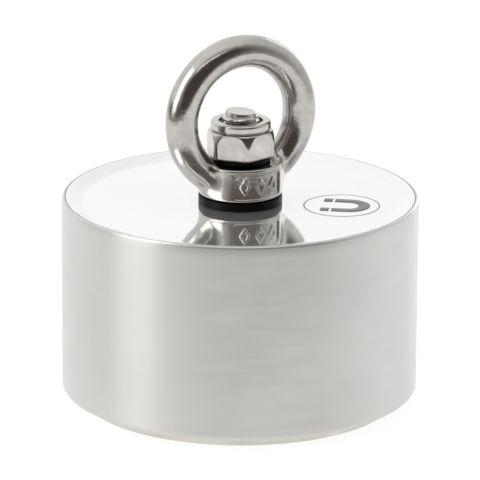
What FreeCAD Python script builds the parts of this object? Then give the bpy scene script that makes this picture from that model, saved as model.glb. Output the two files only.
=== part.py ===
import FreeCAD, Part
import os
from math import cos, pi, radians, sin

# Fishing magnet: a clad pot magnet with a swivelling lifting eye.  Millimetres, +Z up.
# The origin is the centre of the pull face, the face that the magnet stands on.
# The eye ring lies in the XZ plane, so its hole runs along Y.

# ---- driving dimensions ----
body_radius = 48.5
body_height = 56.8
foot_radius = 43.65         # the pot's rim, the narrower foot at the bottom
foot_height = 2.75          # how far the foot stands below the cladding
sleeve_wall = 1.0
plate_bottom = 53.2
plate_top = 55.2            # the plate's flat middle, a little below its rim
dish_radius = 43.0          # where the flat middle ends and the plate rises to the rim
cavity_radius = 38.0        # the pot's hollow for the magnets
magnet_radius = 36.0
magnet_height = 13.0
magnet_recess = 0.3         # magnets sit this far inside the pull face
bush_radius = 12.0
thread_radius = 5.0         # M10
nut_flats = 17.0
nut_corner = 9.47           # the lock nut's corners are rounded off to this radius
ring_radius = 18.13         # centre line of the eye ring
ring_wire = 4.43            # radius of the ring's round section
ring_height = 79.0          # centre of the eye ring above the pull face
boss_radius = 11.4
boss_bottom = 57.5
boss_top = 66.8
float_gap = 0.1             # axial play of the eye at each washer

# ---- sizes that follow from them ----
sleeve_inner = body_radius - sleeve_wall
sleeve_bottom = foot_height
corner_radius = 1.35        # rounded lower edge of the cladding
lip_thickness = 1.2         # the cladding's turned-in lower lip
lip_inner = foot_radius + 0.3
plate_radius = sleeve_inner - 0.2
pot_radius = sleeve_inner - 0.15
pot_shoulder = sleeve_bottom + lip_thickness + 2.05
cavity_top = magnet_recess + 3 * magnet_height
clearance_radius = thread_radius + 0.3
fit_radius = thread_radius + 0.08   # running fit on the bolt

# ---- bolt, nuts and washers ----
bolt_bottom = 0.2
bolt_top = 80.9
bolt_tip_radius = 3.95
bolt_chamfer = 1.3
head_radius = 10.0
head_land = 0.5
socket_flats = 6.0
socket_depth = 3.5
pot_nut_bottom = 47.3
pot_nut_height = 5.0
washer_radius = boss_radius
washer_top = boss_bottom - float_gap
upper_washer_radius = 8.1
upper_washer_bottom = boss_top + float_gap
upper_washer_top = 68.4
nut_dome_height = 4.4       # the corners are turned down to a dome this high under the collar
nut_dome_power = 1.8        # the dome's fall grows with this power of the way out to the corners
nut_dome_steps = 5
nut_shoulder = 75.5         # top of that dome, where the collar begins
nut_dome_radius = 8.4       # radius of the dome at its top
nut_neck_radius = 7.65
collar_bottom = 76.0
nut_top = 78.2
collar_radius = 8.2
collar_edge = 0.6
collar_hole_radius = 5.95
collar_mouth = 0.7          # depth of the collar's mouth above the insert
insert_radius = 6.9
insert_height = 2.2
hex_chamfer = 0.3
pot_nut_chamfer = 0.9
nut_turn = 14.0             # degrees from a corner on +X

# ---- eye details ----
spot_face_radius = 9.9      # flat seat for the upper washer, cut into the ring
spot_face_height = 6.0
eye_bore_radius = 6.02
bush_wall_radius = 6.0
boss_edge = 0.5
panel_half_angle = 39.0     # recessed panel on the boss, centred on -Y
panel_bottom = 58.6
panel_top = 65.5
panel_depth = 0.45
mark_height = 4.6
mark_width = 2.9
mark_stroke = 0.6
mark_step = 22.5            # degrees between the raised marks
mark_relief = 0.3

# ---- label ----
label_radius = 10.7
label_thickness = 0.12
label_x = 22.0
label_y = -16.9

# ---- seals ----
seal_wire = 0.9
seal_seat_radius = 7.4      # recess under the plate for the bolt's seal

axis_z = FreeCAD.Vector(0, 0, 1)
origin = FreeCAD.Vector(0, 0, 0)


def revolve(points):
    """Solid of revolution about Z from (radius, z) points, joined by straight lines."""
    corners = [FreeCAD.Vector(r, 0, z) for r, z in points]
    face = Part.Face(Part.makePolygon(corners + corners[:1]))
    return face.revolve(origin, axis_z, 360)


def tube(outer, inner, bottom, top):
    """Plain tube or washer about Z."""
    return revolve([(inner, bottom), (outer, bottom), (outer, top), (inner, top)])


def washer(outer, inner, bottom, top, edge):
    """Washer with its outer edges broken by a small chamfer."""
    return revolve([
        (inner, bottom), (outer - edge, bottom), (outer, bottom + edge),
        (outer, top - edge), (outer - edge, top), (inner, top),
    ])


def hexagon(flats, bottom, height, turn=0.0):
    """Hexagonal prism about Z with the given width across flats."""
    corner = flats / 2 / cos(pi / 6)
    angles = [radians(60 * k + turn) for k in range(6)]
    corners = [FreeCAD.Vector(corner * cos(a), corner * sin(a), bottom) for a in angles]
    face = Part.Face(Part.makePolygon(corners + corners[:1]))
    return face.extrude(FreeCAD.Vector(0, 0, height))


def chamfered_hexagon(flats, bottom, height, chamfer, turn=0.0):
    """Hexagonal prism whose corners are turned off at both ends, as on a machined nut."""
    corner = flats / 2 / cos(pi / 6)
    top = bottom + height
    inset = chamfer * 1.9
    cone = revolve([
        (0, bottom), (corner - inset, bottom), (corner + 0.02, bottom + chamfer),
        (corner + 0.02, top - chamfer), (corner - inset, top), (0, top),
    ])
    return hexagon(flats, bottom, height, turn).common(cone)


def seal(major, height):
    """O-ring about Z."""
    return Part.makeTorus(major, seal_wire, FreeCAD.Vector(0, 0, height))


def make_sleeve():
    """Drawn stainless cladding: a tube with a rounded top rim and a turned-in lower lip."""
    lip_top = sleeve_bottom + lip_thickness
    shell = revolve([
        (lip_inner, sleeve_bottom), (body_radius, sleeve_bottom), (body_radius, body_height),
        (sleeve_inner, body_height), (sleeve_inner, lip_top), (lip_inner, lip_top),
    ])
    rims = {(sleeve_bottom, body_radius): corner_radius, (body_height, body_radius): 0.7}
    for (height, radius), rounding in rims.items():
        edges = [
            e for e in shell.Edges
            if hasattr(e.Curve, "Radius")
            and abs(e.Curve.Radius - radius) < 1e-3
            and abs(e.Curve.Center.z - height) < 1e-3
        ]
        shell = shell.makeFillet(rounding, edges)
    return shell


def make_plate():
    """Dished top plate: a flat middle that rises to the rim, and a bolt seal seat underneath."""
    edge = 0.15
    land = 0.4              # narrow level band at the rim
    seat_top = plate_bottom + 1.0
    return revolve([
        (seal_seat_radius, plate_bottom), (plate_radius, plate_bottom),
        (plate_radius, body_height - edge), (plate_radius - edge, body_height),
        (plate_radius - land, body_height), (dish_radius, plate_top),
        (clearance_radius, plate_top), (clearance_radius, seat_top), (seal_seat_radius, seat_top),
    ])


def make_pot():
    """Iron pot: its rim is the foot, its floor is at the top and carries the nut pocket."""
    groove = 2 * seal_wire + 0.2
    edge = 0.6
    cup = revolve([
        (cavity_radius, 0), (foot_radius - edge, 0), (foot_radius, edge),
        (foot_radius, pot_shoulder), (pot_radius, pot_shoulder),
        (pot_radius, plate_bottom - groove), (pot_radius - groove, plate_bottom - groove),
        (pot_radius - groove, plate_bottom), (clearance_radius, plate_bottom),
        (clearance_radius, cavity_top), (cavity_radius, cavity_top),
    ])
    pocket = hexagon(nut_flats + 0.3, pot_nut_bottom, plate_bottom - pot_nut_bottom)
    return cup.cut(pocket)


def make_magnet(index):
    """One of the three stacked ring magnets, with broken edges."""
    bottom = magnet_recess + index * magnet_height
    top = bottom + magnet_height
    inner = bush_radius + 0.1
    edge = 0.5
    return revolve([
        (inner + edge, bottom), (magnet_radius - edge, bottom), (magnet_radius, bottom + edge),
        (magnet_radius, top - edge), (magnet_radius - edge, top), (inner + edge, top),
        (inner, top - edge), (inner, bottom + edge),
    ])


def make_core_bush():
    """Brass bush through the magnets, countersunk for the bolt's head."""
    gap = 0.04
    seat_bottom = bolt_bottom + head_land
    seat_top = seat_bottom + head_radius - thread_radius
    return revolve([
        (head_radius + gap, magnet_recess), (bush_radius, magnet_recess),
        (bush_radius, cavity_top), (thread_radius + gap, cavity_top),
        (thread_radius + gap, seat_top), (head_radius + gap, seat_bottom),
    ])


def make_bolt():
    """Countersunk M10 bolt from below, with a turned tip above the lock nut."""
    cone_top = bolt_bottom + head_land + head_radius - thread_radius
    blank = revolve([
        (0, bolt_bottom), (head_radius, bolt_bottom), (head_radius, bolt_bottom + head_land),
        (thread_radius, cone_top), (thread_radius, bolt_top - bolt_chamfer - 0.9),
        (bolt_tip_radius + 0.45, bolt_top - bolt_chamfer), (bolt_tip_radius, bolt_top), (0, bolt_top),
    ])
    return blank.cut(hexagon(socket_flats, bolt_bottom, socket_depth))


def make_pot_nut():
    """Thin nut in the pot's pocket that clamps the bolt, so the eye's nut stays free."""
    nut = chamfered_hexagon(nut_flats, pot_nut_bottom, pot_nut_height, pot_nut_chamfer)
    return nut.cut(Part.makeCylinder(thread_radius + 0.04, 20, FreeCAD.Vector(0, 0, 40)))


def make_lock_nut():
    """Nylon-insert lock nut: a hexagon turned down to a dome, a neck and a rolled collar."""
    dome = []
    for step in range(nut_dome_steps, -1, -1):
        way_out = step / nut_dome_steps
        radius = nut_dome_radius + (nut_corner - nut_dome_radius) * way_out
        dome.append((radius, nut_shoulder - nut_dome_height * way_out ** nut_dome_power))
    blank = revolve([
        (0, upper_washer_top), (nut_corner - 2 * hex_chamfer, upper_washer_top),
        (nut_corner, upper_washer_top + hex_chamfer), *dome, (nut_neck_radius, nut_shoulder),
        (nut_neck_radius, collar_bottom - 0.2), (collar_radius, collar_bottom + 0.2),
        (collar_radius, nut_top - collar_edge), (collar_radius - collar_edge, nut_top), (0, nut_top),
    ])
    body = hexagon(nut_flats, upper_washer_top, nut_top - upper_washer_top, turn=nut_turn).common(blank)
    seat_top = nut_top - collar_mouth
    bore = tube(thread_radius + 0.04, 0, upper_washer_top, nut_top)
    mouth = tube(collar_hole_radius, 0, seat_top, nut_top)
    seat = tube(insert_radius, 0, seat_top - insert_height, seat_top)
    return body.cut(bore.fuse(mouth).fuse(seat)).removeSplitter()


def make_insert():
    """Nylon ring held under the lock nut's rolled collar."""
    gap = 0.05
    top = nut_top - collar_mouth - gap
    return tube(insert_radius - gap, thread_radius + 0.04, top - insert_height + 2 * gap, top)


def lozenge(width, height, depth):
    """Diamond prism that faces -Y, centred on the origin, from y = 0 back to y = depth."""
    corners = [
        FreeCAD.Vector(width / 2, 0, 0), FreeCAD.Vector(0, 0, height / 2),
        FreeCAD.Vector(-width / 2, 0, 0), FreeCAD.Vector(0, 0, -height / 2),
    ]
    face = Part.Face(Part.makePolygon(corners + corners[:1]))
    return face.extrude(FreeCAD.Vector(0, depth, 0))


def make_marks():
    """Three raised hollow lozenges standing on the floor of the boss's panel."""
    middle = (panel_bottom + panel_top) / 2
    floor = boss_radius - panel_depth
    shell = tube(floor + mark_relief, floor - 0.3, boss_bottom, boss_top)
    outer = lozenge(mark_width, mark_height, 4)
    inner = lozenge(mark_width - 2.2 * mark_stroke, mark_height - 3.0 * mark_stroke, 4)
    mark = outer.cut(inner)
    mark.translate(FreeCAD.Vector(0, -boss_radius - 0.5, middle))
    marks = []
    for step in (-1, 0, 1):
        turned = mark.copy()
        turned.rotate(origin, axis_z, step * mark_step)
        marks.append(turned.common(shell))
    return marks


def make_panel():
    """Segment of a ring that is cut from the boss to leave its shallow panel."""
    height = panel_top - panel_bottom
    floor = boss_radius - panel_depth
    centre = FreeCAD.Vector(0, 0, panel_bottom)
    sweep = 2 * panel_half_angle
    outer = Part.makeCylinder(boss_radius + 1, height, centre, axis_z, sweep)
    inner = Part.makeCylinder(floor, height, centre, axis_z, 360)
    panel = outer.cut(inner)
    panel.rotate(origin, axis_z, -90 - panel_half_angle)
    return panel


def make_eye():
    """Forged eye: a round ring that runs down into a flat-ended boss."""
    ring = Part.makeTorus(
        ring_radius, ring_wire, FreeCAD.Vector(0, 0, ring_height), FreeCAD.Vector(0, 1, 0)
    )
    boss = revolve([
        (0, boss_bottom), (boss_radius - boss_edge, boss_bottom), (boss_radius, boss_bottom + boss_edge),
        (boss_radius, boss_top - boss_edge), (boss_radius - boss_edge, boss_top), (0, boss_top),
    ])
    blank = ring.fuse(boss)
    below = Part.makeCylinder(20, 10, FreeCAD.Vector(0, 0, boss_bottom - 10))
    spot_face = Part.makeCylinder(spot_face_radius, spot_face_height, FreeCAD.Vector(0, 0, boss_top))
    bore = Part.makeCylinder(eye_bore_radius, 12, FreeCAD.Vector(0, 0, boss_bottom - 1))
    eye = blank.cut(below).cut(spot_face).cut(bore).cut(make_panel())
    for mark in make_marks():
        eye = eye.fuse(mark)
    return eye.removeSplitter()


def make_label():
    """Thin printed disc on the top plate."""
    centre = FreeCAD.Vector(label_x, label_y, plate_top)
    return Part.makeCylinder(label_radius, label_thickness, centre)


nodes = {
    "outer_sleeve": make_sleeve(),
    "top_plate": make_plate(),
    "steel_pot": make_pot(),
    "magnet_ring_bottom": make_magnet(0),
    "magnet_ring_middle": make_magnet(1),
    "magnet_ring_top": make_magnet(2),
    "resin_ring": tube(cavity_radius - 0.05, magnet_radius + 0.05, magnet_recess + 0.1, cavity_top),
    "core_bush": make_core_bush(),
    "bolt": make_bolt(),
    "pot_lock_nut": make_pot_nut(),
    "bolt_seal": seal(thread_radius + seal_wire + 0.2, plate_bottom + 0.05),
    "plate_seal": seal(pot_radius - seal_wire - 0.1, plate_bottom - seal_wire - 0.1),
    "foot_seal": seal(lip_inner + seal_wire + 0.9, pot_shoulder - seal_wire - 0.1),
    "lower_washer": washer(washer_radius, fit_radius, plate_top, washer_top, 0.25),
    "eye": make_eye(),
    "eye_bush": tube(bush_wall_radius, fit_radius, boss_bottom, boss_top),
    "upper_washer": washer(upper_washer_radius, fit_radius, upper_washer_bottom, upper_washer_top, 0.2),
    "lock_nut": make_lock_nut(),
    "nut_insert": make_insert(),
    "round_label": make_label(),
}

os.makedirs("parts", exist_ok=True)
for name, shape in nodes.items():
    shape.exportStep(f"parts/{name}.step")
    box = shape.BoundBox
    print(f"{name:20s} valid {shape.isValid()} solids {len(shape.Solids)} volume {shape.Volume:9.1f}"
          f" z {box.ZMin:6.2f} to {box.ZMax:6.2f}")
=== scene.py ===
import bpy
import numpy as np
from mathutils import Matrix, Vector


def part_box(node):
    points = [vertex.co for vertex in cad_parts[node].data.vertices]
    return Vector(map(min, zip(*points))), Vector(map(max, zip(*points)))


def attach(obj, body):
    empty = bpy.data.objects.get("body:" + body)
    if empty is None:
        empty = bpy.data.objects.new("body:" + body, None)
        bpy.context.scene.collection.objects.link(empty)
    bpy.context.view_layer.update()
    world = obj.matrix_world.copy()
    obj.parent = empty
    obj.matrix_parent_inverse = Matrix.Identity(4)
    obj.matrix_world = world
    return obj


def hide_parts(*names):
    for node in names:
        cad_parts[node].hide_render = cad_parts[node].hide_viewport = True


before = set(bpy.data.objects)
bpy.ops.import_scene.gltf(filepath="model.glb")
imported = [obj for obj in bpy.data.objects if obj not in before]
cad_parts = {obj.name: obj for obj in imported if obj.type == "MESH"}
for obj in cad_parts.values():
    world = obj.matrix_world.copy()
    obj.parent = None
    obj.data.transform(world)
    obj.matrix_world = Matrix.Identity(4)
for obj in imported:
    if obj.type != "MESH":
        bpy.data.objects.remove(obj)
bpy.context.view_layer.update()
scene = bpy.context.scene
millimetre = 0.001
print("frame loaded:", len(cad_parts), "nodes")


def nodeSpan(node):
    # lowest and highest corner of a CAD node, in millimetres
    low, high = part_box(node)
    return np.array(low) / millimetre, np.array(high) / millimetre


def gridFaces(rows, columns, wrapRows=False):
    # quads between neighbouring rows and columns; the columns always close on themselves
    row = np.arange(rows if wrapRows else rows - 1)[:, None]
    column = np.arange(columns)[None, :]
    nextRow, nextColumn = (row + 1) % rows, (column + 1) % columns
    corners = [row * columns + column, row * columns + nextColumn,
               nextRow * columns + nextColumn, nextRow * columns + column]
    return np.stack(corners, -1).reshape(-1, 4)


def makePiece(name, points, faces, material, body, nodes=(), offset=(0, 0, 0)):
    # points in millimetres become a smooth-shaded piece that rides on a body
    mesh = bpy.data.meshes.new(name)
    placed = (np.asarray(points) + np.array(offset)) * millimetre
    mesh.from_pydata(placed.tolist(), [], [list(f) for f in faces])
    mesh.polygons.foreach_set("use_smooth", np.ones(len(mesh.polygons), bool))
    mesh.update()
    piece = bpy.data.objects.new(name, mesh)
    scene.collection.objects.link(piece)
    mesh.materials.append(material)
    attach(piece, body)
    if nodes:
        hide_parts(*nodes)
    return piece


def roundedProfile(corners, closed=True, arcStep=9.0, support=0.12):
    # straight runs joined by tangent arcs: a corner is (radius, height, rounding), and one point
    # stands just outside each end of an arc so that the flats beside it shade flat
    points = np.array([c[:2] for c in corners], float)
    outline = []
    for k, (_, _, rounding) in enumerate(corners):
        here = points[k]
        if rounding == 0 or (not closed and k in (0, len(corners) - 1)):
            outline.append(here[None])
            continue
        back = points[k - 1] - here
        ahead = points[(k + 1) % len(corners)] - here
        back, ahead = back / np.hypot(*back), ahead / np.hypot(*ahead)
        turn = np.pi - np.arccos(np.clip(back @ ahead, -1, 1))
        reach = rounding * np.tan(turn / 2)
        middle = (back + ahead) / np.hypot(*(back + ahead))
        centre = here + middle * rounding / np.cos(turn / 2)
        start = here + back * reach - centre
        side = np.sign(back[1] * ahead[0] - back[0] * ahead[1])
        angles = np.arctan2(start[1], start[0]) + side * np.linspace(
            0, turn, max(3, int(np.ceil(np.degrees(turn) / arcStep)) + 1))
        arc = centre + rounding * np.stack([np.cos(angles), np.sin(angles)], -1)
        outline += [here[None] + back * (reach + support), arc, here[None] + ahead * (reach + support)]
    return np.concatenate(outline)


def turnedGrid(radius, height, angles, closed):
    # surface of (angle, row): each row is a loop about Z whose radius and height may vary with
    # the angle; a closed profile wraps round, an open one ends in a pole on the axis
    radius, height = np.broadcast_arrays(radius, height)
    rows, columns = radius.shape
    points = np.stack([radius * np.cos(angles), radius * np.sin(angles), height], -1).reshape(-1, 3)
    faces = [tuple(f) for f in gridFaces(rows, columns, wrapRows=closed).tolist()]
    if closed:
        return points, faces
    column = np.arange(columns)
    following = (column + 1) % columns
    last = (rows - 1) * columns
    bottom, top = len(points), len(points) + 1
    poles = [[0, 0, height[0].mean()], [0, 0, height[-1].mean()]]
    faces += [(bottom, b, a) for a, b in zip(column.tolist(), following.tolist())]
    faces += [(last + a, last + b, top) for a, b in zip(column.tolist(), following.tolist())]
    return np.concatenate([points, poles]), faces


def turnedPiece(name, corners, material, body, nodes=(), closed=True, segments=240,
                offset=(0, 0, 0), arcStep=9.0, support=0.12):
    # a turned part: its rounded profile carried round the Z axis
    profile = roundedProfile(corners, closed, arcStep, support)
    angles = np.linspace(0, 2 * np.pi, segments, endpoint=False)
    ones = np.ones((1, segments))
    points, faces = turnedGrid(profile[:, :1] * ones, profile[:, 1:] * ones, angles, closed)
    return makePiece(name, points, faces, material, body, nodes, offset)


def effectGroup(name, inputs, outputs):
    # an empty shader node group: inputs are (name, kind, default), outputs are (name, kind)
    tree = bpy.data.node_groups.new(name, "ShaderNodeTree")
    for label, kind, value in inputs:
        socket = tree.interface.new_socket(label, in_out="INPUT", socket_type=kind)
        if value is not None:
            socket.default_value = value
    for label, kind in outputs:
        tree.interface.new_socket(label, in_out="OUTPUT", socket_type=kind)
    return tree, tree.nodes.new("NodeGroupInput"), tree.nodes.new("NodeGroupOutput")


def mathNode(tree, operation, first, second=None, clamp=False):
    # each operand is a number or another node's output
    node = tree.nodes.new("ShaderNodeMath")
    node.operation = operation
    node.use_clamp = clamp
    for socket, value in zip(node.inputs, (first, second)):
        if isinstance(value, bpy.types.NodeSocket):
            tree.links.new(value, socket)
        elif value is not None:
            socket.default_value = value
    return node.outputs[0]


def noiseNode(tree, vector, scale, detail, roughness, stretch=(1, 1, 1)):
    # fractal noise; a small stretch along an axis draws it out along that axis
    mapping = tree.nodes.new("ShaderNodeMapping")
    mapping.inputs["Scale"].default_value = stretch
    tree.links.new(vector, mapping.inputs["Vector"])
    noise = tree.nodes.new("ShaderNodeTexNoise")
    tree.links.new(mapping.outputs[0], noise.inputs["Vector"])
    if isinstance(scale, bpy.types.NodeSocket):
        tree.links.new(scale, noise.inputs["Scale"])
    else:
        noise.inputs["Scale"].default_value = scale
    noise.inputs["Detail"].default_value = detail
    noise.inputs["Roughness"].default_value = roughness
    return noise.outputs["Fac"]


def rangeNode(tree, value, fromLow, fromHigh, toLow, toHigh):
    # maps one range of values to another and keeps the result inside it
    node = tree.nodes.new("ShaderNodeMapRange")
    for socket, given in zip(node.inputs, (value, fromLow, fromHigh, toLow, toHigh)):
        if isinstance(given, bpy.types.NodeSocket):
            tree.links.new(given, socket)
        else:
            socket.default_value = given
    return node.outputs[0]


def makeHaze():
    # cloudy variation between two values, for polish that is a little uneven
    tree, given, out = effectGroup(
        "haze",
        [("Vector", "NodeSocketVector", None), ("Scale", "NodeSocketFloat", 60.0),
         ("Low", "NodeSocketFloat", 0.0), ("High", "NodeSocketFloat", 1.0)],
        [("Value", "NodeSocketFloat")])
    cloud = noiseNode(tree, given.outputs["Vector"], given.outputs["Scale"], 4.0, 0.55)
    value = rangeNode(tree, cloud, 0.32, 0.68, given.outputs["Low"], given.outputs["High"])
    tree.links.new(value, out.inputs["Value"])
    return tree


def makeHairlines():
    # sparse fine scratches in two crossing directions: a mask and a height
    tree, given, out = effectGroup(
        "hairlines",
        [("Vector", "NodeSocketVector", None), ("Scale", "NodeSocketFloat", 300.0)],
        [("Mask", "NodeSocketFloat"), ("Height", "NodeSocketFloat")])
    masks = []
    for stretch in ((1.0, 0.035, 0.6), (0.05, 1.0, 0.5)):
        streaks = noiseNode(tree, given.outputs["Vector"], given.outputs["Scale"], 2.0, 0.5, stretch)
        masks.append(rangeNode(tree, streaks, 0.66, 0.72, 0.0, 1.0))
    mask = mathNode(tree, "MAXIMUM", *masks)
    tree.links.new(mask, out.inputs["Mask"])
    tree.links.new(mathNode(tree, "MULTIPLY", mask, -1.0), out.inputs["Height"])
    return tree


def makeBrushing():
    # polishing marks that run round the axis: noise drawn out along X and Y and fine along Z
    tree, given, out = effectGroup(
        "brushing",
        [("Vector", "NodeSocketVector", None), ("Scale", "NodeSocketFloat", 2000.0)],
        [("Value", "NodeSocketFloat")])
    streaks = noiseNode(tree, given.outputs["Vector"], given.outputs["Scale"], 4.0, 0.6,
                        stretch=(0.1, 0.1, 1.0))
    tree.links.new(streaks, out.inputs["Value"])
    return tree


def makeTurning():
    # fine lines left by a lathe: bands that depend only on the distance from the axis and on Z
    tree, given, out = effectGroup(
        "turning",
        [("Vector", "NodeSocketVector", None), ("Pitch", "NodeSocketFloat", 4000.0)],
        [("Height", "NodeSocketFloat")])
    parts = tree.nodes.new("ShaderNodeSeparateXYZ")
    tree.links.new(given.outputs["Vector"], parts.inputs[0])
    across = mathNode(tree, "SQRT", mathNode(
        tree, "ADD", mathNode(tree, "POWER", parts.outputs["X"], 2.0),
        mathNode(tree, "POWER", parts.outputs["Y"], 2.0)))
    joined = tree.nodes.new("ShaderNodeCombineXYZ")
    tree.links.new(across, joined.inputs["X"])
    tree.links.new(parts.outputs["Z"], joined.inputs["Z"])
    lines = noiseNode(tree, joined.outputs[0], given.outputs["Pitch"], 3.0, 0.7)
    tree.links.new(lines, out.inputs["Height"])
    return tree


def makeGrain():
    # even fine grain for moulded, cast and plated surfaces: a height and a mask of darker flecks
    tree, given, out = effectGroup(
        "grain",
        [("Vector", "NodeSocketVector", None), ("Scale", "NodeSocketFloat", 2500.0)],
        [("Height", "NodeSocketFloat"), ("Flecks", "NodeSocketFloat")])
    grain = noiseNode(tree, given.outputs["Vector"], given.outputs["Scale"], 5.0, 0.65)
    tree.links.new(grain, out.inputs["Height"])
    tree.links.new(rangeNode(tree, grain, 0.55, 0.75, 0.0, 1.0), out.inputs["Flecks"])
    return tree


haze, hairlines, brushing = makeHaze(), makeHairlines(), makeBrushing()
turning, grain = makeTurning(), makeGrain()
print("shared effects ready")


def newMaterial(name, fixed):
    # a Principled material whose fixed values sit on the shader's own sockets
    material = bpy.data.materials.new(name)
    material.use_nodes = True
    tree = material.node_tree
    shader = tree.nodes["Principled BSDF"]
    for label, value in fixed.items():
        shader.inputs[label].default_value = value
    place = tree.nodes.new("ShaderNodeTexCoord").outputs["Object"]
    return material, tree, shader, place


def effect(tree, group, place, **values):
    # places a shared effect in a material and returns its outputs
    node = tree.nodes.new("ShaderNodeGroup")
    node.node_tree = group
    tree.links.new(place, node.inputs["Vector"])
    for label, value in values.items():
        node.inputs[label].default_value = value
    return node.outputs


def addBump(tree, shader, layers):
    # stacks height layers, each (socket, distance in millimetres), into the shader's normal
    normal = None
    for height, distance in layers:
        bump = tree.nodes.new("ShaderNodeBump")
        bump.inputs["Strength"].default_value = 1.0
        bump.inputs["Distance"].default_value = distance * millimetre
        tree.links.new(height, bump.inputs["Height"])
        if normal is not None:
            tree.links.new(normal, bump.inputs["Normal"])
        normal = bump.outputs[0]
    tree.links.new(normal, shader.inputs["Normal"])


def mixColors(tree, factor, first, second):
    # each colour is three numbers or another node's output
    node = tree.nodes.new("ShaderNodeMix")
    node.data_type = "RGBA"
    tree.links.new(factor, node.inputs[0])
    for socket, color in ((node.inputs[6], first), (node.inputs[7], second)):
        if isinstance(color, bpy.types.NodeSocket):
            tree.links.new(color, socket)
        else:
            socket.default_value = (*color, 1.0)
    return node.outputs[2]


def metalMaterial(name, look):
    # polished or machined metal: cloudy tint and roughness, then any of scratches, brushing,
    # waves, lathe lines and grain; an anisotropic one stretches its highlights along Z
    material, tree, shader, place = newMaterial(name, {
        "Metallic": look.get("metallic", 1.0), "Anisotropic": look.get("anisotropic", 0.0),
        "Anisotropic Rotation": look.get("anisotropicTurn", 0.0)})
    cloud = effect(tree, haze, place, Scale=look["cloudScale"])["Value"]
    tree.links.new(mixColors(tree, cloud, look["dark"], look["light"]), shader.inputs["Base Color"])
    rough = effect(tree, haze, place, Scale=look["cloudScale"] * 1.7,
                   Low=look["rough"][0], High=look["rough"][1])["Value"]
    layers = []
    if "scratchScale" in look:
        scratches = effect(tree, hairlines, place, Scale=look["scratchScale"])
        rough = mathNode(tree, "ADD", rough, mathNode(
            tree, "MULTIPLY", scratches["Mask"], look["scratchRough"]), clamp=True)
        layers.append((scratches["Height"], look["scratchDepth"]))
    if "brushScale" in look:
        marks = effect(tree, brushing, place, Scale=look["brushScale"])["Value"]
        rough = mathNode(tree, "ADD", rough, mathNode(
            tree, "MULTIPLY", marks, look["brushRough"]), clamp=True)
        layers.append((marks, look["brushDepth"]))
    tree.links.new(rough, shader.inputs["Roughness"])
    if "waveScale" in look:
        layers.append((effect(tree, haze, place, Scale=look["waveScale"])["Value"],
                       look["waveDepth"]))
    if "linePitch" in look:
        layers.append((effect(tree, turning, place, Pitch=look["linePitch"])["Height"],
                       look["lineDepth"]))
    if "grainScale" in look:
        layers.append((effect(tree, grain, place, Scale=look["grainScale"])["Height"],
                       look["grainDepth"]))
    addBump(tree, shader, layers)
    if look.get("anisotropic"):
        around = tree.nodes.new("ShaderNodeTangent")
        around.direction_type = "RADIAL"
        around.axis = "Z"
        tree.links.new(around.outputs[0], shader.inputs["Tangent"])
    return material


def mouldedMaterial(name, look):
    # plastic, rubber, resin and ink: grain, cloudy gloss and faint lathe lines
    material, tree, shader, place = newMaterial(name, {
        "Metallic": 0.0, "IOR": 1.5, "Specular IOR Level": look.get("specular", 0.5),
        "Coat Weight": look.get("coat", 0.0)})
    pits = effect(tree, grain, place, Scale=look["grainScale"])
    tree.links.new(mixColors(tree, pits["Flecks"], look["light"], look["dark"]),
                   shader.inputs["Base Color"])
    rough = effect(tree, haze, place, Scale=look["cloudScale"], Low=look["rough"][0],
                   High=look["rough"][1])["Value"]
    tree.links.new(rough, shader.inputs["Roughness"])
    lathe = effect(tree, turning, place, Pitch=look["linePitch"])["Height"]
    addBump(tree, shader, [(lathe, look["lineDepth"]), (pits["Height"], look["grainDepth"])])
    return material


mirrorPlate = metalMaterial("mirrorPlate", {
    "dark": (0.93, 0.93, 0.93), "light": (0.97, 0.97, 0.97), "cloudScale": 25.0, "metallic": 0.86,
    "rough": (0.03, 0.06), "scratchScale": 900.0, "scratchRough": 0.03, "scratchDepth": 0.0001,
    "linePitch": 3000.0, "lineDepth": 0.00005, "waveScale": 30.0, "waveDepth": 0.001})
polishedSleeve = metalMaterial("polishedSleeve", {
    "dark": (0.645, 0.64, 0.62), "light": (0.69, 0.685, 0.67), "cloudScale": 22.0,
    "rough": (0.24, 0.30), "brushScale": 600.0, "brushRough": 0.12, "brushDepth": 0.009,
    "anisotropic": 0.88, "anisotropicTurn": 0.25})
forgedEye = metalMaterial("forgedEye", {
    "dark": (0.47, 0.45, 0.42), "light": (0.56, 0.545, 0.52), "cloudScale": 400.0,
    "rough": (0.12, 0.2), "scratchScale": 900.0, "scratchRough": 0.08, "scratchDepth": 0.0006,
    "waveScale": 240.0, "waveDepth": 0.028, "grainScale": 1500.0, "grainDepth": 0.012})
fastenerSteel = metalMaterial("fastenerSteel", {
    "dark": (0.54, 0.52, 0.49), "light": (0.66, 0.64, 0.61), "cloudScale": 200.0,
    "rough": (0.14, 0.24), "scratchScale": 1200.0, "scratchRough": 0.08, "scratchDepth": 0.0006,
    "linePitch": 4000.0, "lineDepth": 0.001, "waveScale": 220.0, "waveDepth": 0.012,
    "grainScale": 2200.0, "grainDepth": 0.004})
platedIron = metalMaterial("platedIron", {
    "dark": (0.60, 0.575, 0.50), "light": (0.70, 0.675, 0.61), "cloudScale": 90.0,
    "rough": (0.24, 0.36), "scratchScale": 500.0, "scratchRough": 0.12, "scratchDepth": 0.002,
    "linePitch": 3200.0, "lineDepth": 0.003, "waveScale": 60.0, "waveDepth": 0.01})
magnetNickel = metalMaterial("magnetNickel", {
    "dark": (0.55, 0.54, 0.51), "light": (0.66, 0.65, 0.62), "cloudScale": 70.0,
    "rough": (0.16, 0.28), "scratchScale": 400.0, "scratchRough": 0.15, "scratchDepth": 0.002,
    "linePitch": 900.0, "lineDepth": 0.0005, "waveScale": 120.0, "waveDepth": 0.015})
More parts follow.
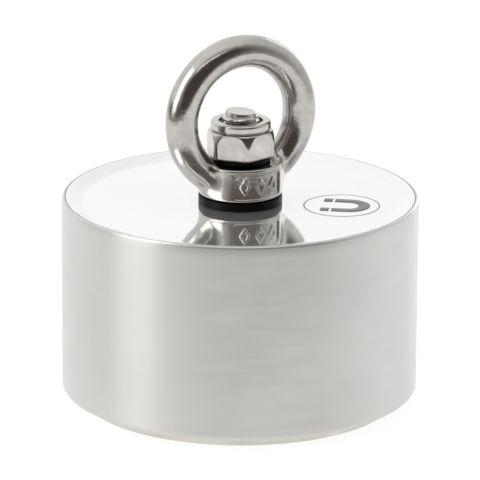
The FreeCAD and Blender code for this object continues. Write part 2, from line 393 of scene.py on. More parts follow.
turnedBrass = metalMaterial("turnedBrass", {
    "dark": (0.62, 0.44, 0.20), "light": (0.78, 0.60, 0.32), "cloudScale": 110.0,
    "rough": (0.18, 0.32), "scratchScale": 700.0, "scratchRough": 0.1, "scratchDepth": 0.001,
    "linePitch": 5000.0, "lineDepth": 0.003, "waveScale": 90.0, "waveDepth": 0.004})
zincSteel = metalMaterial("zincSteel", {
    "dark": (0.52, 0.53, 0.52), "light": (0.64, 0.65, 0.66), "cloudScale": 160.0,
    "rough": (0.3, 0.42), "scratchScale": 900.0, "scratchRough": 0.1, "scratchDepth": 0.001,
    "linePitch": 3500.0, "lineDepth": 0.001, "waveScale": 120.0, "waveDepth": 0.01})
blackNylon = mouldedMaterial("blackNylon", {
    "light": (0.003, 0.003, 0.003), "dark": (0.006, 0.006, 0.006), "grainScale": 2600.0,
    "grainDepth": 0.01, "cloudScale": 180.0, "rough": (0.3, 0.45), "linePitch": 2600.0,
    "lineDepth": 0.01, "specular": 0.12})
insertNylon = mouldedMaterial("insertNylon", {
    "light": (0.020, 0.020, 0.022), "dark": (0.03, 0.03, 0.03), "grainScale": 2400.0,
    "grainDepth": 0.004, "cloudScale": 200.0, "rough": (0.35, 0.5), "linePitch": 3000.0,
    "lineDepth": 0.003})
naturalNylon = mouldedMaterial("naturalNylon", {
    "light": (0.72, 0.70, 0.62), "dark": (0.64, 0.61, 0.52), "grainScale": 1800.0,
    "grainDepth": 0.004, "cloudScale": 150.0, "rough": (0.35, 0.5), "linePitch": 3000.0,
    "lineDepth": 0.004})
pottingResin = mouldedMaterial("pottingResin", {
    "light": (0.012, 0.012, 0.014), "dark": (0.03, 0.03, 0.03), "grainScale": 700.0,
    "grainDepth": 0.01, "cloudScale": 60.0, "rough": (0.12, 0.28), "linePitch": 300.0,
    "lineDepth": 0.002, "coat": 0.3})
sealRubber = mouldedMaterial("sealRubber", {
    "light": (0.014, 0.014, 0.014), "dark": (0.028, 0.027, 0.026), "grainScale": 3000.0,
    "grainDepth": 0.006, "cloudScale": 200.0, "rough": (0.5, 0.65), "linePitch": 2000.0,
    "lineDepth": 0.002})
labelInk = mouldedMaterial("labelInk", {
    "light": (0.275, 0.275, 0.285), "dark": (0.30, 0.30, 0.31), "grainScale": 4000.0,
    "grainDepth": 0.001, "cloudScale": 120.0, "rough": (0.35, 0.45), "linePitch": 500.0,
    "lineDepth": 0.0005, "specular": 0.2})
labelFilm = metalMaterial("labelFilm", {
    "dark": (0.94, 0.94, 0.94), "light": (0.97, 0.97, 0.97), "cloudScale": 25.0, "metallic": 0.9,
    "rough": (0.04, 0.08), "waveScale": 30.0, "waveDepth": 0.0005})
print("materials ready")


footRadius = 43.65      # the pot's foot, which the sleeve's lower lip surrounds
sleeveLook = {
    "rimRounding": 0.7, "cornerRounding": 1.4, "innerRounding": 0.2, "wall": 1.0, "lip": 1.2,
    "lipGap": 0.3, "easeHeight": 3.4, "ease": 0.24, "seamRounding": 0.06,
}
plateLook = {
    "seam": 0.06, "edge": 0.04, "land": 0.4, "landRounding": 1.2, "dishRadius": 43.0,
    "dishRounding": 7.0, "hole": 5.3, "holeRounding": 0.15, "lowerRounding": 0.2, "sealSeat": 7.4,
    "seatDepth": 1.0,
}


def makeCladding():
    # drawn tube with a turned-in lower lip; near the top its side leans in along a parabola, then
    # turns over a small round into the rim
    low, high = nodeSpan("outer_sleeve")
    outer = (high[0] - low[0]) / 2
    inner = outer - sleeveLook["wall"]
    lipInner = footRadius + sleeveLook["lipGap"]
    lipTop = low[2] + sleeveLook["lip"]
    tall, ease = sleeveLook["easeHeight"], sleeveLook["ease"]
    soft = sleeveLook["innerRounding"]
    eased = [(outer - ease * t * t, high[2] - tall + t * tall, 0) for t in np.linspace(0, 0.75, 7)]
    corners = [
        (lipInner, low[2], soft), (outer, low[2], sleeveLook["cornerRounding"]), *eased,
        (outer - ease, high[2], sleeveLook["rimRounding"]),
        (inner, high[2], sleeveLook["seamRounding"]), (inner, lipTop, soft), (lipInner, lipTop, soft)]
    turnedPiece("outerSleeve", corners, polishedSleeve, "magnet", ["outer_sleeve"],
                segments=384, arcStep=7.0, support=0.08)


def makeTopPlate():
    # flat mirror-polished middle that rises in a shallow dish to a narrow land at the rim
    low, high = nodeSpan("top_plate")
    flat = nodeSpan("lower_washer")[0][2]
    radius = nodeSpan("outer_sleeve")[1][0] - sleeveLook["wall"] - plateLook["seam"]
    seat = low[2] + plateLook["seatDepth"]
    corners = [
        (plateLook["sealSeat"], low[2], 0), (radius, low[2], plateLook["lowerRounding"]),
        (radius, high[2], plateLook["edge"]),
        (radius - plateLook["land"], high[2], plateLook["landRounding"]),
        (plateLook["dishRadius"], flat, plateLook["dishRounding"]),
        (plateLook["hole"], flat, plateLook["holeRounding"]),
        (plateLook["hole"], seat, 0), (plateLook["sealSeat"], seat, 0)]
    turnedPiece("topPlate", corners, mirrorPlate, "magnet", ["top_plate"],
                segments=384, arcStep=2.0, support=0.08)


makeCladding()
makeTopPlate()
print("cladding and plate ready")


potLook = {
    "cavity": 38.0, "edge": 0.6, "mouthRounding": 0.5, "shoulder": 6.0, "body": 47.35,
    "bodyRounding": 0.2, "groove": 2.0, "pocket": 10.2, "pocketFloor": 47.3, "hole": 5.3,
}
magnetLook = {"bore": 12.1, "rounding": 0.5}
resinLook = {"width": 1.9, "flat": 0.4, "meniscus": 0.18, "rounding": 0.2}
coreLook = {
    "headRadius": 10.04, "headDepth": 0.7, "bore": 5.04, "coneTop": 5.7, "faceRounding": 0.1,
    "lowerRounding": 0.35, "upperRounding": 0.3,
}


def makePot():
    # thick pot that opens downwards, with a narrower foot and a pocket for its lock nut on top
    high = nodeSpan("steel_pot")[1]
    cavityTop = nodeSpan("magnet_ring_top")[1][2]
    rebate = high[2] - potLook["groove"]
    body, pocket, floor = potLook["body"], potLook["pocket"], potLook["pocketFloor"]
    soft, cavity, hole = potLook["bodyRounding"], potLook["cavity"], potLook["hole"]
    corners = [
        (cavity, 0, potLook["mouthRounding"]), (footRadius, 0, potLook["edge"]),
        (footRadius, potLook["shoulder"], 0), (body, potLook["shoulder"], soft), (body, rebate, soft),
        (body - potLook["groove"], rebate, 0), (body - potLook["groove"], high[2], soft),
        (pocket, high[2], soft), (pocket, floor, 0), (hole, floor, 0), (hole, cavityTop, 0),
        (cavity, cavityTop, 0)]
    turnedPiece("steelPot", corners, platedIron, "magnet", ["steel_pot"], segments=300)


def makeMagnets():
    # three plain rings with eased edges
    bore, soft = magnetLook["bore"], magnetLook["rounding"]
    for level in ("bottom", "middle", "top"):
        low, high = nodeSpan(f"magnet_ring_{level}")
        outer = (high[0] - low[0]) / 2
        corners = [(bore, low[2], soft), (outer, low[2], soft), (outer, high[2], soft),
                   (bore, high[2], soft)]
        turnedPiece(f"magnetRing_{level}", corners, magnetNickel, "magnet",
                    [f"magnet_ring_{level}"], segments=200)


def makeResin():
    # poured resin between the magnets and the pot, its face a little hollow from the meniscus
    low, high = nodeSpan("resin_ring")
    outer = (high[0] - low[0]) / 2
    inner = outer - resinLook["width"]
    middle, flat, soft = (outer + inner) / 2, resinLook["flat"], resinLook["rounding"]
    hollow = low[2] + resinLook["meniscus"]
    corners = [(inner, low[2], 0), (middle - flat, hollow, 0), (middle + flat, hollow, 0),
               (outer, low[2], 0), (outer, high[2], soft), (inner, high[2], soft)]
    turnedPiece("resinRing", corners, pottingResin, "magnet", ["resin_ring"], segments=240)


def makeCoreBush():
    # turned bush with a countersink for the bolt's head
    low, high = nodeSpan("core_bush")
    outer = (high[0] - low[0]) / 2
    head, bore, soft = coreLook["headRadius"], coreLook["bore"], coreLook["upperRounding"]
    corners = [(head, low[2], coreLook["faceRounding"]), (outer, low[2], coreLook["lowerRounding"]),
               (outer, high[2], soft), (bore, high[2], soft), (bore, coreLook["coneTop"], 0),
               (head, coreLook["headDepth"], 0)]
    turnedPiece("coreBush", corners, turnedBrass, "magnet", ["core_bush"], segments=160,
                support=0.06)


makePot()
makeMagnets()
makeResin()
makeCoreBush()
print("pot and core ready")


boltLook = {
    "threadRadius": 5.0, "pitch": 1.5, "threadDepth": 0.8, "threadFrom": 40.0, "threadStep": 0.09,
    "threadFade": 1.5, "rootShare": 0.12, "flankShare": 0.72, "tipRadius": 3.95, "tipLength": 1.3,
    "tipSlope": 0.35, "tipRounding": 0.12, "runOutSlope": 0.67, "slant": 0.085, "slantDepth": 1.6,
    "slantTurn": -29.0, "headRadius": 10.0, "headLand": 0.5, "socketFlats": 6.0, "socketDepth": 3.5,
    "headRounding": 0.25, "landRounding": 0.15, "neckRounding": 0.3, "columns": 150,
}


def hexRadius(angles, flats, sharpness=90.0):
    # radius of a hexagon at each angle: six half-planes joined by a power mean, so that the
    # corners are slightly soft
    wanted = np.radians(np.arange(6) * 60.0 + 30.0)
    facing = np.maximum(np.cos(angles[None, :] - wanted[:, None]), 0)
    return flats / 2 * (facing ** sharpness).sum(0) ** (-1 / sharpness)


def makeBolt():
    # one grid of (angle, row): hex socket, countersunk head, shank, thread and turned tip
    low, high = nodeSpan("bolt")
    bottom, top = low[2], high[2]
    angles = np.linspace(0, 2 * np.pi, boltLook["columns"], endpoint=False)
    socket = hexRadius(angles, boltLook["socketFlats"])
    floor = bottom + boltLook["socketDepth"]
    head, shank = boltLook["headRadius"], boltLook["threadRadius"]
    coneTop = bottom + boltLook["headLand"] + head - shank
    plain = roundedProfile(
        [(0, bottom, 0), (head, bottom, boltLook["headRounding"]),
         (head, bottom + boltLook["headLand"], boltLook["landRounding"]),
         (shank, coneTop, boltLook["neckRounding"]), (shank, boltLook["threadFrom"], 0)],
        closed=False, support=0.05)[1:]

    def level(height):
        return np.full_like(angles, height)

    rows = [(socket * 0.5, level(floor)), (socket * 0.98, level(floor)), (socket, level(floor - 0.1)),
            (socket, level(bottom + 0.25)), (socket + 0.05, level(bottom + 0.15)),
            (socket + 0.25, level(bottom)), (socket + 0.4, level(bottom))]
    rows += [(level(r), level(z)) for r, z in plain]
    heights = np.arange(boltLook["threadFrom"] + 0.1, top - 0.02, boltLook["threadStep"])[:, None]
    # the thread follows how far height / pitch - angle / full turn lies from a whole number
    turn = heights / boltLook["pitch"] - angles[None, :] / (2 * np.pi)
    ridge = np.abs(2 * (turn % 1.0) - 1)          # 0 in the groove, 1 on the crest
    ridge = np.clip((ridge - boltLook["rootShare"]) / boltLook["flankShare"], 0, 1)
    ridge = ridge * ridge * (3 - 2 * ridge)
    fade = np.clip((heights - boltLook["threadFrom"]) / boltLook["threadFade"], 0, 1)
    thread = shank - boltLook["threadDepth"] * fade * (1 - ridge)
    below = top - heights
    cone = boltLook["tipRadius"] + below * boltLook["tipSlope"] + np.maximum(
        below - boltLook["tipLength"], 0) * (boltLook["runOutSlope"] - boltLook["tipSlope"])
    rounding = boltLook["tipRounding"]            # soft edge between the tip's cone and its end face
    cone = cone - np.where(below < rounding, (1 - below / rounding) ** 2 * rounding, 0)
    threaded = np.minimum(thread, cone)
    rows += [(threaded[k], level(heights[k, 0])) for k in range(len(heights))]
    tip = boltLook["tipRadius"]
    rows += [(level(r), level(top)) for r in (tip - 0.25, tip - 0.5, tip * 0.5)]
    radius = np.array([r for r, _ in rows])
    height = np.array([z for _, z in rows])
    # the end face was sawn a little out of square: the last stretch sinks towards one side
    near = np.clip(1 - (top - height) / boltLook["slantDepth"], 0, 1)
    lean = tip + radius * np.cos(angles - np.radians(boltLook["slantTurn"]))
    height = height - near * boltLook["slant"] * lean
    points, faces = turnedGrid(radius, height, angles, closed=False)
    makePiece("threadedBolt", points, faces, fastenerSteel, "magnet", ["bolt"])


makeBolt()
print("bolt ready")


nutLook = {
    "flats": 17.0, "corner": 9.47, "turn": 14.0, "faceChamfer": 0.3, "domeTop": 75.55,
    "domeHeight": 3.5, "domePower": 2.6, "domeRadius": 8.35, "neckRadius": 7.62, "collarRadius": 8.2,
    "lipRounding": 0.75, "hole": 5.95, "mouth": 0.7, "seatRadius": 6.9, "seatDepth": 2.9, "bore": 5.04,
    "support": 0.1,
}
insertLook = {"bore": 5.04, "rounding": 0.1, "mouthRounding": 0.35}


def makeLockNut():
    # grid of (angle, row): a hexagon with rounded corners, turned down above to a dome whose fall
    # grows with a power of the way out to the corners, so that the flats end in arcs; then a neck
    # and a rolled collar with a rounded lip
    low, high = nodeSpan("lock_nut")
    bottom, top = low[2], high[2]
    share = np.sin(np.linspace(-1, 1, 49)[:-1] * np.pi / 2)     # points crowd towards the corners
    sextants = np.radians(np.arange(6) * 60.0 + 30.0)
    angles = (sextants[:, None] + share[None, :] * np.radians(30.0)).ravel()
    flats, corner, domeRadius = nutLook["flats"], nutLook["corner"], nutLook["domeRadius"]
    wall = hexRadius(angles, flats, np.log(2) / np.log(flats / np.sqrt(3) / corner))
    flat = np.ones_like(angles)
    chamfer, soft, bore = nutLook["faceChamfer"], nutLook["support"], nutLook["bore"]
    domeTop = nutLook["domeTop"]

    def domeAt(reach):
        wayOut = np.clip((reach - domeRadius) / (corner - domeRadius), 0, 1)
        return domeTop - nutLook["domeHeight"] * wayOut ** nutLook["domePower"]

    upper = domeAt(wall)
    rows = [(bore * flat, bottom * flat), (wall - 4 * chamfer, bottom * flat),
            (wall - 2 * chamfer, bottom * flat),
            (wall - 0.4 * chamfer, (bottom + 0.6 * chamfer) * flat),
            (wall, (bottom + chamfer + soft) * flat), (wall, (bottom + chamfer + 3 * soft) * flat),
            (wall, upper - 3 * soft), (wall, upper - soft)]
    for blend in (0.12, 0.3, 0.5, 0.7, 0.88, 1.0):
        reach = wall * (1 - blend) + domeRadius * blend
        rows.append((reach, domeAt(reach)))
    neck = nutLook["neckRadius"]
    lip = roundedProfile(
        [(domeRadius - 0.1, domeTop + 0.03, 0), (neck, domeTop + 0.14, 0.08),
         (neck, domeTop + 0.36, 0.08), (nutLook["collarRadius"], domeTop + 0.55, 0.3),
         (nutLook["collarRadius"], top, nutLook["lipRounding"]), (nutLook["hole"], top, 0.35),
         (nutLook["hole"], top - nutLook["mouth"], 0)], closed=False, arcStep=8.0, support=0.05)
    rows += [(r * flat, z * flat) for r, z in lip]
    seat = nutLook["seatRadius"]
    rows += [(seat * flat, (top - nutLook["mouth"] - 0.04) * flat),
             (seat * flat, (top - nutLook["seatDepth"]) * flat),
             (bore * flat, (top - nutLook["seatDepth"] - 0.05) * flat)]
    radius = np.array([r for r, _ in rows])
    height = np.array([z for _, z in rows])
    points, faces = turnedGrid(radius, height, angles + np.radians(nutLook["turn"]), closed=True)
    makePiece("lockNut", points, faces, fastenerSteel, "magnet", ["lock_nut"])


def makeInsert():
    # nylon ring under the collar
    low, high = nodeSpan("nut_insert")
    outer = (high[0] - low[0]) / 2
    bore, soft = insertLook["bore"], insertLook["rounding"]
    corners = [(bore, low[2], soft), (outer, low[2], soft), (outer, high[2], soft),
               (bore, high[2], insertLook["mouthRounding"])]
    turnedPiece("nutInsert", corners, insertNylon, "magnet", ["nut_insert"],
                segments=120, support=0.05)


makeLockNut()
makeInsert()
print("lock nut ready")


washerLook = {"bore": 5.08, "boreRounding": 0.2, "lowerRounding": 0.3, "upperRounding": 0.35}


def makeWashers():
    # two thick plain washers with rounded outer edges
    bore, soft = washerLook["bore"], washerLook["boreRounding"]
    for name, node, rounding in (
            ("lowerWasher", "lower_washer", washerLook["lowerRounding"]),
            ("upperWasher", "upper_washer", washerLook["upperRounding"])):
        low, high = nodeSpan(node)
        outer = (high[0] - low[0]) / 2
        corners = [(bore, low[2], soft), (outer, low[2], rounding), (outer, high[2], rounding),
                   (bore, high[2], soft)]
        turnedPiece(name, corners, blackNylon, "magnet", [node], segments=180,
                    support=0.05)


makeWashers()
print("washers ready")


eyeLook = {
    "voxel": 0.28, "ringRadius": 18.13, "wire": 4.43, "centre": 79.0, "bossBottom": 57.5,
    "bossTop": 66.8, "bossRadius": 11.4, "blend": 2.4, "bossRounding": 0.5, "baseRounding": 1.3,
    "sunk": 3, "spotFace": 9.9, "spotHeight": 6.0, "spotRounding": 0.25, "bore": 6.02,
    "boreAbove": 3, "boreRounding": 0.2, "panelHalf": 39.0, "panelBottom": 58.6, "panelTop": 65.5,
    "panelDepth": 0.45, "panelCorner": 1.2, "panelRounding": 0.18, "markHeight": 4.8,
    "markWidth": 3.1, "markStroke": 0.62, "markStep": 22.5, "markRelief": 0.34,
    "markRounding": 0.12, "unevenness": 0.04,
}
netLook = {"probe": 0.02, "pulls": 4, "leastSlope": 0.25, "longestMove": 0.35}


def softMin(a, b, width):
    # smooth minimum: a quadratic blend where the two fields are within width of each other
    share = np.clip(0.5 + 0.5 * (b - a) / width, 0, 1)
    return b * (1 - share) + a * share - width * share * (1 - share)


def softMax(a, b, width):
    # smooth maximum, the mirror of the smooth minimum
    return -softMin(-a, -b, width)


def boxField(x, y, halfWidth, halfHeight, corner):
    # distance to a flat rectangle with round corners
    across, up = np.abs(x) - halfWidth + corner, np.abs(y) - halfHeight + corner
    outside = np.hypot(np.maximum(across, 0), np.maximum(up, 0))
    return np.minimum(np.maximum(across, up), 0) + outside - corner


def eyeField(x, y, z):
    # signed distance in millimetres, negative inside: ring and boss softly joined, then the
    # spot face, bore, panel and base are cut and the raised marks are added
    bottom, top = eyeLook["bossBottom"], eyeLook["bossTop"]
    sunk = bottom - eyeLook["sunk"]               # the boss starts lower, so that its base is cut
    around = np.hypot(x, y)
    turn = np.arctan2(z - eyeLook["centre"], x)
    wire = eyeLook["wire"] + eyeLook["unevenness"] * (
        np.sin(3 * turn + 0.6) + 0.6 * np.sin(7 * turn + 2.0) + 0.4 * np.sin(11 * turn + y))
    ring = np.hypot(np.hypot(x, z - eyeLook["centre"]) - eyeLook["ringRadius"], y) - wire
    boss = boxField(around, z - (sunk + top) / 2, eyeLook["bossRadius"], (top - sunk) / 2,
                    eyeLook["bossRounding"])
    body = softMin(ring, boss, eyeLook["blend"])
    body = softMax(body, bottom - z, eyeLook["baseRounding"])
    seat = np.maximum(around - eyeLook["spotFace"], np.abs(z - top - eyeLook["spotHeight"] / 2)
                      - eyeLook["spotHeight"] / 2)
    body = softMax(body, -seat, eyeLook["spotRounding"])
    shaft = np.maximum(around - eyeLook["bore"], z - top - eyeLook["boreAbove"])
    body = softMax(body, -shaft, eyeLook["boreRounding"])
    facing = np.arctan2(x, -y)
    width = np.radians(eyeLook["panelHalf"]) * eyeLook["bossRadius"]
    along = facing * eyeLook["bossRadius"]
    floor = eyeLook["bossRadius"] - eyeLook["panelDepth"]
    middle = (eyeLook["panelBottom"] + eyeLook["panelTop"]) / 2
    half = (eyeLook["panelTop"] - eyeLook["panelBottom"]) / 2
    outline = boxField(along, z - middle, width, half, eyeLook["panelCorner"])
    body = softMax(body, -np.maximum(outline, floor - around), eyeLook["panelRounding"])
    wide, tall = eyeLook["markWidth"] / 2, eyeLook["markHeight"] / 2
    slope = np.hypot(wide, tall)
    for step in (-1, 0, 1):
        across = along - np.radians(step * eyeLook["markStep"]) * eyeLook["bossRadius"]
        lozenge = (np.abs(across) * tall + np.abs(z - middle) * wide - wide * tall) / slope
        stroke = np.abs(lozenge + eyeLook["markStroke"] / 2) - eyeLook["markStroke"] / 2
        stroke = np.where(np.abs(facing) < np.pi / 2, stroke, 5.0)      # none on the far side
        mark = np.maximum(stroke, np.abs(around - floor) - eyeLook["markRelief"])
        body = softMin(body, mark, eyeLook["markRounding"])
    return body


def surfaceNet(field, low, high, step):
    # one vertex in each cell that the surface crosses, at the mean of its edge crossings, and one
    # quad round each grid edge that the surface crosses; the vertices are then drawn onto it
    axes = [np.arange(a, b + step, step) for a, b in zip(low, high)]
    value = field(*np.meshgrid(*axes, indexing="ij"))
    inside = value < 0
    shape = np.array(value.shape)
    cells = shape - 1
    total = np.zeros((*cells, 3))
    count = np.zeros(cells)
    quads = []
    number = np.full(cells, -1)

    def part(array, starts, ends):
        return array[tuple(slice(a, b) for a, b in zip(starts, ends))]

    for axis in range(3):
        one = np.eye(3, dtype=int)[axis]
        first, second = part(value, (0, 0, 0), shape - one), part(value, one, shape)
        crossed = (first < 0) != (second < 0)
        share = np.where(crossed, first / np.where(crossed, first - second, 1), 0)
        sides = [np.eye(3, dtype=int)[k] for k in range(3) if k != axis]
        for offset in (0 * one, sides[0], sides[1], sides[0] + sides[1]):
            hit = part(crossed, offset, offset + cells)
            place = part(share, offset, offset + cells)
            count += hit
            for k in range(3):
                total[..., k] += hit * (place if k == axis else offset[k])
    active = count > 0
    number[active] = np.arange(active.sum())
    index = np.argwhere(active)
    points = np.array(low) + (index + total[active] / count[active][:, None]) * step
    for axis in range(3):
        one = np.eye(3, dtype=int)[axis]
        left = np.eye(3, dtype=int)[(axis + 1) % 3]
        up = np.eye(3, dtype=int)[(axis + 2) % 3]
        crossed = part(inside, (0, 0, 0), shape - one) != part(inside, one, shape)
        edges = np.argwhere(crossed)
        edges = edges[(edges[:, (axis + 1) % 3] > 0) & (edges[:, (axis + 2) % 3] > 0)]
        edges = edges[(edges < cells).all(1)]
        ring = [number[tuple((edges - shift).T)] for shift in (left + up, up, 0 * one, left)]
        quad = np.stack(ring, -1)
        backward = ~inside[tuple(edges.T)]
        quad[backward] = quad[backward][:, ::-1]
        quads.append(quad)
    reach = netLook["probe"]
    for _ in range(netLook["pulls"]):
        here = field(*points.T)
        slope = np.stack([
            (field(*(points + d).T) - field(*(points - d).T)) / (2 * reach)
            for d in np.eye(3) * reach], -1)
        steepness = np.maximum((slope ** 2).sum(1), netLook["leastSlope"])
        move = -here[:, None] * slope / steepness[:, None]
        length = np.linalg.norm(move, axis=1, keepdims=True)
        points = points + move * np.minimum(1, netLook["longestMove"] * step
                                            / np.maximum(length, 1e-9))
    return points, np.concatenate(quads)


def makeEye():
    # the eye's surface, drawn from its distance field on an even grid
    low, high = nodeSpan("eye")
    margin = 3 * eyeLook["voxel"]
    points, quads = surfaceNet(eyeField, low - margin, high + margin, eyeLook["voxel"])
    print("eye mesh:", len(points), "points", len(quads), "quads")
    makePiece("eye", points, quads.tolist(), forgedEye, "eye", ["eye"])


makeEye()
print("eye ready")


labelLook = {
    "film": 0.04, "filmLift": 0.01, "filmRounding": 0.01, "print": 0.02, "printSink": 0.005,
    "ringOuter": 10.4, "ringWidth": 0.36, "bend": 1.8, "arcRadius": 4.4, "band": 3.2,
    "legEnd": -2.3, "tipFrom": -2.9, "tipTo": -5.3,
}


def ribbon(path, width, low, high):
    # flat strip of even width and thickness carried along a path in the XY plane
    ahead = np.gradient(path, axis=0)
    ahead /= np.linalg.norm(ahead, axis=1, keepdims=True)
    side = np.stack([ahead[:, 1], -ahead[:, 0]], -1) * width / 2
    section = [(side, low), (side, high), (-side, high), (-side, low)]
    points = np.concatenate([
        np.concatenate([path + shift, np.full((len(path), 1), level)], 1)[:, None]
        for shift, level in section], 1).reshape(-1, 3)
    faces = gridFaces(len(path), 4).tolist()
    last = (len(path) - 1) * 4
    return points, faces + [[3, 2, 1, 0], [last, last + 1, last + 2, last + 3]]


def makeLabel():
    # thin film disc that carries a printed ring and a plain horseshoe magnet
    low, high = nodeSpan("round_label")
    centre = np.append((low[:2] + high[:2]) / 2, 0)
    radius = (high[0] - low[0]) / 2
    base, film = low[2] + labelLook["filmLift"], low[2] + labelLook["film"]
    corners = [(0, base, 0), (radius, base, 0), (radius, film, labelLook["filmRounding"]),
               (0, film, 0)]
    turnedPiece("labelFilm", corners, labelFilm, "magnet", ["round_label"],
                closed=False, segments=180, offset=centre, support=0.03)
    under, over = film - labelLook["printSink"], film + labelLook["print"]
    outer = labelLook["ringOuter"]
    inner = outer - labelLook["ringWidth"]
    corners = [(inner, under, 0), (outer, under, 0), (outer, over, 0), (inner, over, 0)]
    turnedPiece("labelRing", corners, labelInk, "magnet", segments=180, offset=centre)
    # the horseshoe: a half circle with two legs, and its two pole tips a small gap away
    arm, bend = labelLook["arcRadius"], labelLook["bend"]
    sweep = np.linspace(-np.pi / 2, np.pi / 2, 48)
    arch = np.stack([bend + arm * np.cos(sweep), arm * np.sin(sweep)], -1)
    lower = np.stack([np.linspace(labelLook["legEnd"], bend, 8)[:-1], np.full(7, -arm)], -1)
    strips = [np.concatenate([lower, arch, (lower * [1, -1])[::-1]])]
    for across in (-arm, arm):
        strips.append(np.stack([np.linspace(labelLook["tipTo"], labelLook["tipFrom"], 4),
                                np.full(4, across)], -1))
    outward = np.arctan2(centre[1], centre[0])
    rotate = np.array([[np.cos(outward), np.sin(outward)], [-np.sin(outward), np.cos(outward)]])
    points, faces = [], []
    for path in strips:
        start = sum(len(p) for p in points)
        stripPoints, stripFaces = ribbon(path @ rotate, labelLook["band"], under, over)
        points.append(stripPoints)
        faces += [[start + k for k in face] for face in stripFaces]
    makePiece("labelMark", np.concatenate(points), faces, labelInk, "magnet",
              offset=centre)


makeLabel()
print("label ready")


hiddenFinishes = {
    "pot_lock_nut": zincSteel, "bolt_seal": sealRubber, "plate_seal": sealRubber,
    "foot_seal": sealRubber, "eye_bush": naturalNylon,
}
for node, material in hiddenFinishes.items():
    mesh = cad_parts[node].data
    mesh.materials.clear()
    mesh.materials.append(material)
print("hidden parts ready")


studioLook = {
    "azimuth": -29.2, "elevation": 16.97, "distance": 1265.4, "aim": 44.06, "lens": 348.5,
    "roll": 0.35, "floorRadius": 520.0, "floorGlow": 0.93, "floorColor": (0.12, 0.12, 0.12),
    "sky": 1.0, "boxDistance": 900.0, "boxAim": 40.0,
    "dark": {"color": (0.085, 0.07, 0.058), "turn": 17.0, "lift": 22.0, "wide": 66.0, "tall": 46.0},
    "band": {"color": (0.24, 0.215, 0.18), "turn": -60.0, "lift": 0.0, "wide": 80.0, "tall": 11.0},
    "grey": {"color": (0.76, 0.765, 0.775), "turn": 112.0, "lift": 10.0, "wide": 54.0, "tall": 60.0},
}
white = (1.0, 1.0, 1.0)


def bearing(azimuth, elevation):
    # unit vector from the object towards a place seen at that turn from the camera
    turn, lift = np.radians(studioLook["azimuth"] + azimuth), np.radians(elevation)
    return np.array([np.sin(turn) * np.cos(lift), -np.cos(turn) * np.cos(lift), np.sin(lift)])


def skyPatch(tree, place, patch):
    # mask of an elliptical patch of the surroundings: 1 well inside it, fading to 0 outside
    ahead = bearing(patch["turn"], patch["lift"])
    across = bearing(patch["turn"] + 90, 0)
    up = np.cross(across, ahead)
    up = up if up[2] > 0 else -up
    sides = []
    for direction, reach in ((across, patch["wide"]), (up, patch["tall"])):
        dot = tree.nodes.new("ShaderNodeVectorMath")
        dot.operation = "DOT_PRODUCT"
        dot.inputs[1].default_value = direction / np.sin(np.radians(reach))
        tree.links.new(place, dot.inputs[0])
        sides.append(mathNode(tree, "POWER", dot.outputs["Value"], 2.0))
    front = tree.nodes.new("ShaderNodeVectorMath")
    front.operation = "DOT_PRODUCT"
    front.inputs[1].default_value = ahead
    tree.links.new(place, front.inputs[0])
    inside = rangeNode(tree, mathNode(tree, "ADD", *sides), 0.45, 1.25, 1.0, 0.0)
    near = rangeNode(tree, front.outputs["Value"], 0.0, 0.2, 0.0, 1.0)
    return mathNode(tree, "MULTIPLY", inside, near)


def makeFloor():
    # round pale floor that glows, so that shadows on it stay faint
    around = np.linspace(0, 2 * np.pi, 96, endpoint=False)
    rim = np.stack([np.cos(around), np.sin(around), 0 * around], -1) * studioLook["floorRadius"]
    mesh = bpy.data.meshes.new("floor")
    mesh.from_pydata((rim * millimetre).tolist(), [], [tuple(range(len(rim)))])
    floor = bpy.data.objects.new("floor", mesh)
    scene.collection.objects.link(floor)
    material = newMaterial("paleFloor", {
        "Roughness": 0.9, "Specular IOR Level": 0.0, "Base Color": (*studioLook["floorColor"], 1),
        "Emission Color": (*white, 1), "Emission Strength": studioLook["floorGlow"]})[0]
    mesh.materials.append(material)


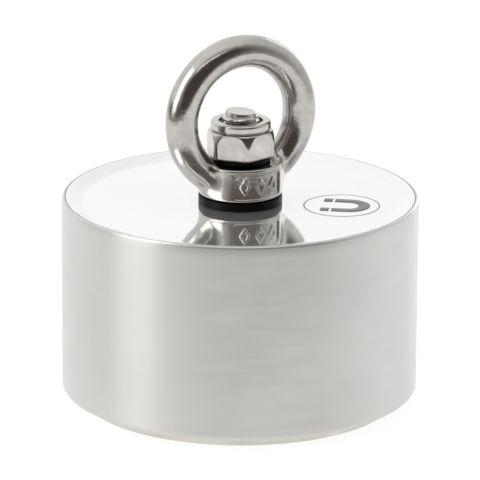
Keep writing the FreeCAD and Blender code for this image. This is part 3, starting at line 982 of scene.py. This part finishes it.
def makeSky():
    # even pale surroundings with a dark region behind the camera, a grey one to its right and a
    # low dark band to its left; seen directly they are plain white
    world = bpy.data.worlds.new("studio")
    scene.world = world
    world.use_nodes = True
    tree = world.node_tree
    background = tree.nodes["Background"]
    place = tree.nodes.new("ShaderNodeTexCoord").outputs["Generated"]
    color = white
    for name in ("grey", "band", "dark"):
        patch = studioLook[name]
        color = mixColors(tree, skyPatch(tree, place, patch), color, patch["color"])
    direct = tree.nodes.new("ShaderNodeLightPath").outputs["Is Camera Ray"]
    tree.links.new(mixColors(tree, direct, color, white), background.inputs["Color"])
    background.inputs["Strength"].default_value = studioLook["sky"]


def makeSoftbox(name, azimuth, elevation, size, power):
    # soft rectangular lamp, size in millimetres, that looks at the middle of the object
    lamp = bpy.data.lights.new(name, "AREA")
    lamp.shape = "RECTANGLE"
    lamp.size, lamp.size_y = size[0] * millimetre, size[1] * millimetre
    lamp.energy = power
    holder = bpy.data.objects.new(name, lamp)
    scene.collection.objects.link(holder)
    aim = Vector((0, 0, studioLook["boxAim"] * millimetre))
    place = aim + Vector(bearing(azimuth, elevation) * studioLook["boxDistance"] * millimetre)
    turned = (aim - place).to_track_quat("-Z", "Y").to_matrix().to_4x4()
    holder.matrix_world = Matrix.Translation(place) @ turned


def makeCamera():
    # long lens that looks slightly down at the object
    camera = bpy.data.cameras.new("camera")
    camera.lens = studioLook["lens"]
    camera.sensor_width = 36.0
    camera.clip_end = 50.0
    holder = bpy.data.objects.new("camera", camera)
    scene.collection.objects.link(holder)
    aim = Vector((0, 0, studioLook["aim"] * millimetre))
    place = aim + Vector(bearing(0, studioLook["elevation"]) * studioLook["distance"] * millimetre)
    turned = (aim - place).to_track_quat("-Z", "Y").to_matrix().to_4x4()
    roll = Matrix.Rotation(np.radians(studioLook["roll"]), 4, "Z")
    holder.matrix_world = Matrix.Translation(place) @ turned @ roll
    scene.camera = holder


makeFloor()
makeSky()
makeSoftbox("leftBox", -68, 28, (480, 900), 2.25)
makeSoftbox("rightBox", 150, 10, (300, 800), 0.5)
makeSoftbox("frontBox", 8, 55, (620, 70), 0.26)
makeCamera()
scene.view_settings.view_transform = "Standard"
print("studio ready")
